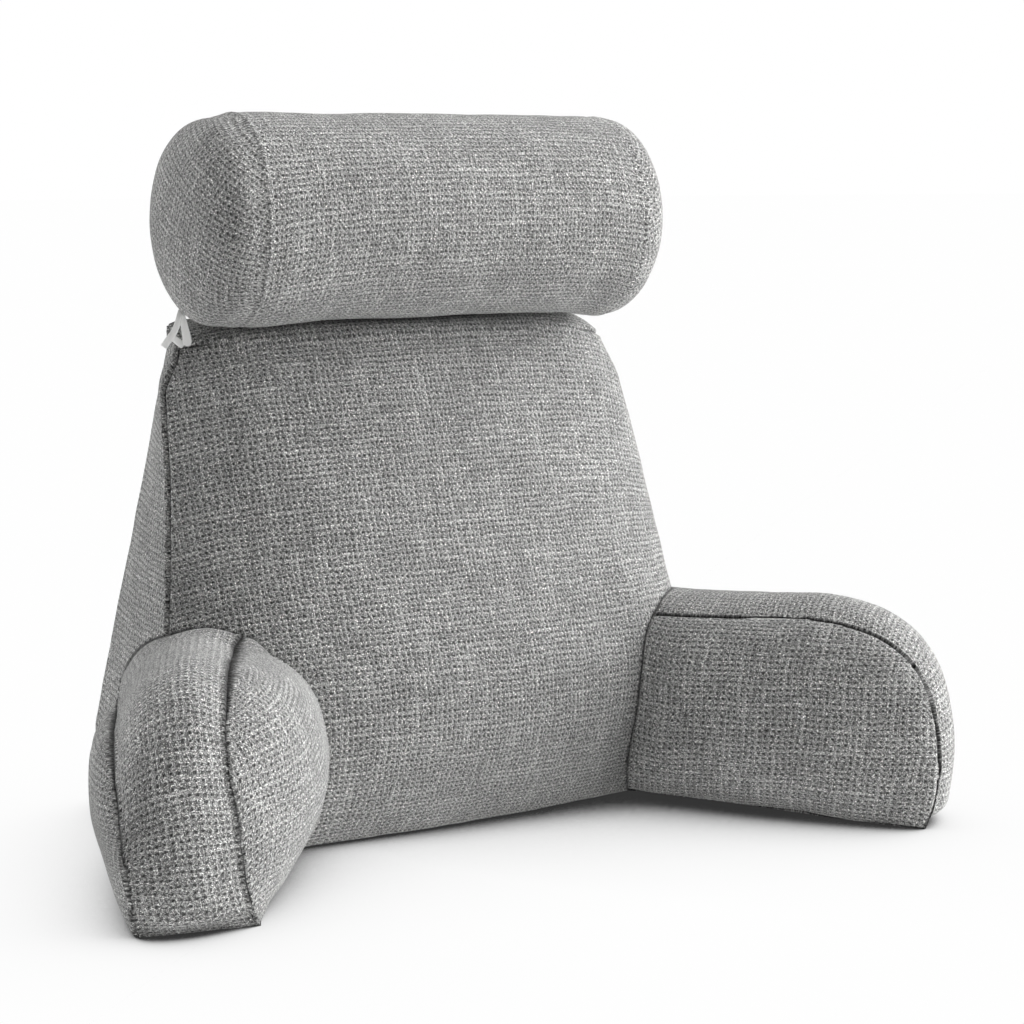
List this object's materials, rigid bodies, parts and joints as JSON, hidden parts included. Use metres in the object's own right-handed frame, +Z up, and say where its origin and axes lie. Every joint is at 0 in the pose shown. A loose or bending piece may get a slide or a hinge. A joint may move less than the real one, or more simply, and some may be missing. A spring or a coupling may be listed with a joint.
{
  "type": "reading pillow with arms",
  "caption": "Filled woven-cloth reading pillow: a wedge backrest with splayed side arms and a round neck roll tied along its top.",
  "frame": {"origin": "on the floor, under the middle of the backrest's base", "axes": "+Z up, -Y the way the pillow faces and its arms reach, X across it"},
  "size_m": [0.7593, 0.4799, 0.571],
  "materials": {
    "grey_tweed": "coarse basket-weave tweed, matte",
    "white_tape": "flat cotton tape, matte"
  },
  "bodies": {
    "root": {"backrest": "grey_tweed", "arm_left": "grey_tweed", "arm_right": "grey_tweed", "neck_roll": "grey_tweed", "tie_left": "white_tape", "tie_right": "white_tape"}
  },
  "joints": []
}
